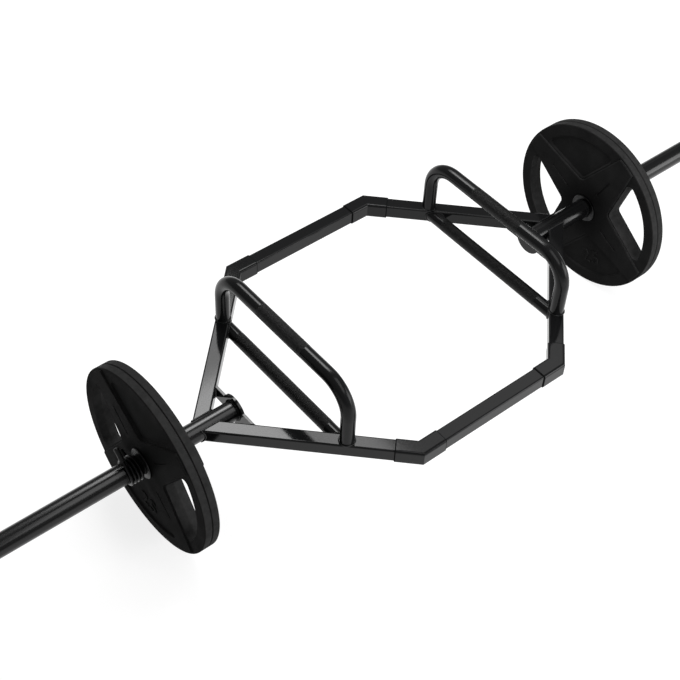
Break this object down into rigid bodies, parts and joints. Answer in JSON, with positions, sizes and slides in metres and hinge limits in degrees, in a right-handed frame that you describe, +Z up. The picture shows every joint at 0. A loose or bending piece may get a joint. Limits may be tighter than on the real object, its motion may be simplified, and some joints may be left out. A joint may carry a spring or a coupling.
{
  "type": "hex trap bar",
  "caption": "Hexagonal lifting bar of square tube with raised and low handles, round sleeves, rubber-skinned weight plates and spring collars.",
  "frame": {"origin": "on the floor, below the middle of the hexagon", "axes": "+X along the sleeves to the right, -Y to the front rail, +Z up"},
  "size_m": [2.168, 0.722, 0.45],
  "materials": {
    "frame_paint": "gloss",
    "handle_paint": "gloss",
    "sleeve_paint": "gloss",
    "end_plug": "matte",
    "plate_rubber": "matte",
    "plate_core": "matte",
    "bush_steel": "satin",
    "spring_wire": "satin",
    "collar_grip": "matte"
  },
  "bodies": {
    "frame": {"front_rail": "frame_paint", "rear_rail": "frame_paint", "front_left_arm": "frame_paint", "front_right_arm": "frame_paint", "rear_left_arm": "frame_paint", "rear_right_arm": "frame_paint", "front_left_corner": "frame_paint", "front_right_corner": "frame_paint", "rear_left_corner": "frame_paint", "rear_right_corner": "frame_paint", "left_gusset": "frame_paint", "right_gusset": "frame_paint", "left_sleeve": "sleeve_paint", "right_sleeve": "sleeve_paint", "left_end_cap": "end_plug", "right_end_cap": "end_plug", "left_high_handle": "handle_paint", "right_high_handle": "handle_paint", "left_low_handle": "handle_paint", "right_low_handle": "handle_paint"},
    "left_hub": {"left_bush": "bush_steel"},
    "left_plate": {"left_plate_rubber": "plate_rubber", "left_plate_core": "plate_core"},
    "left_collar": {"left_collar_spring": "spring_wire", "left_collar_inner_grip": "collar_grip", "left_collar_outer_grip": "collar_grip"},
    "right_hub": {"right_bush": "bush_steel"},
    "right_plate": {"right_plate_rubber": "plate_rubber", "right_plate_core": "plate_core"},
    "right_collar": {"right_collar_spring": "spring_wire", "right_collar_inner_grip": "collar_grip", "right_collar_outer_grip": "collar_grip"}
  },
  "joints": [
    {"name": "left_plate_slide", "type": "slide", "parent": "frame", "child": "left_hub", "axis": [-1, 0, 0], "range_m": [-0.086, 0]},
    {"name": "left_plate_spin", "type": "hinge", "parent": "left_hub", "child": "left_plate", "pos_m": [-0.672, 0, 0.225], "axis": [1, 0, 0], "continuous": true},
    {"name": "left_collar_slide", "type": "slide", "parent": "frame", "child": "left_collar", "axis": [-1, 0, 0], "range_m": [0, 0.33]},
    {"name": "right_plate_slide", "type": "slide", "parent": "frame", "child": "right_hub", "axis": [1, 0, 0], "range_m": [-0.086, 0]},
    {"name": "right_plate_spin", "type": "hinge", "parent": "right_hub", "child": "right_plate", "pos_m": [0.672, 0, 0.225], "axis": [1, 0, 0], "continuous": true},
    {"name": "right_collar_slide", "type": "slide", "parent": "frame", "child": "right_collar", "axis": [1, 0, 0], "range_m": [0, 0.33]}
  ]
}
